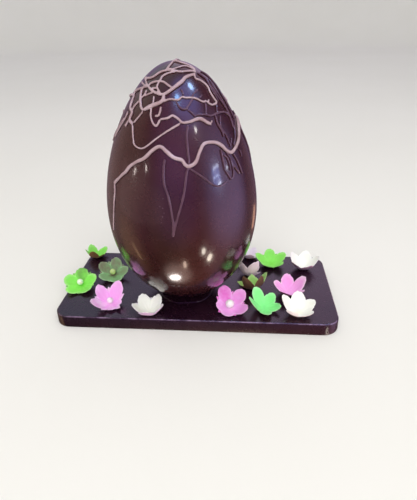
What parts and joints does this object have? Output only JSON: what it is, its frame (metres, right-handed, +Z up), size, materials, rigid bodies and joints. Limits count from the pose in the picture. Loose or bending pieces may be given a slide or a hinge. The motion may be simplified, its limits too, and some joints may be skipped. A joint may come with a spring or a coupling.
{
  "type": "chocolate egg",
  "caption": "Moulded dark chocolate egg with milk chocolate drizzle, standing on a dark chocolate slab decorated with gum paste blossoms.",
  "frame": {"origin": "middle of the slab's underside", "axes": "+X along the slab, -Y the front, +Z up through the egg"},
  "size_m": [0.1953, 0.1051, 0.1535],
  "materials": {
    "dark_chocolate": "glossy tempered chocolate",
    "milk_chocolate": "soft set drizzle",
    "paste_green": "matte gum paste",
    "paste_moss": "matte gum paste",
    "paste_mint": "matte gum paste",
    "paste_olive": "matte gum paste",
    "paste_pink": "matte gum paste",
    "paste_white": "matte gum paste",
    "paste_lilac": "matte gum paste",
    "sugar_pearl": "polished sugar pearl"
  },
  "bodies": {
    "root": {"slab": "dark_chocolate", "egg": "dark_chocolate", "foot": "dark_chocolate", "milk_drizzle": "milk_chocolate", "blossom_green_corner": "paste_green", "blossom_lime": "paste_green", "blossom_moss": "paste_moss", "blossom_pink_left": "paste_pink", "blossom_white_left": "paste_white", "blossom_pink_front": "paste_pink", "blossom_mint": "paste_mint", "blossom_cream": "paste_white", "blossom_pink_right": "paste_pink", "blossom_white_corner": "paste_white", "blossom_green_back": "paste_green", "blossom_lilac_back": "paste_lilac", "blossom_lilac_front": "paste_lilac", "blossom_olive": "paste_olive", "pearl_lime": "sugar_pearl", "pearl_moss": "sugar_pearl", "pearl_pink_left": "sugar_pearl", "pearl_pink_front": "sugar_pearl"}
  },
  "joints": []
}
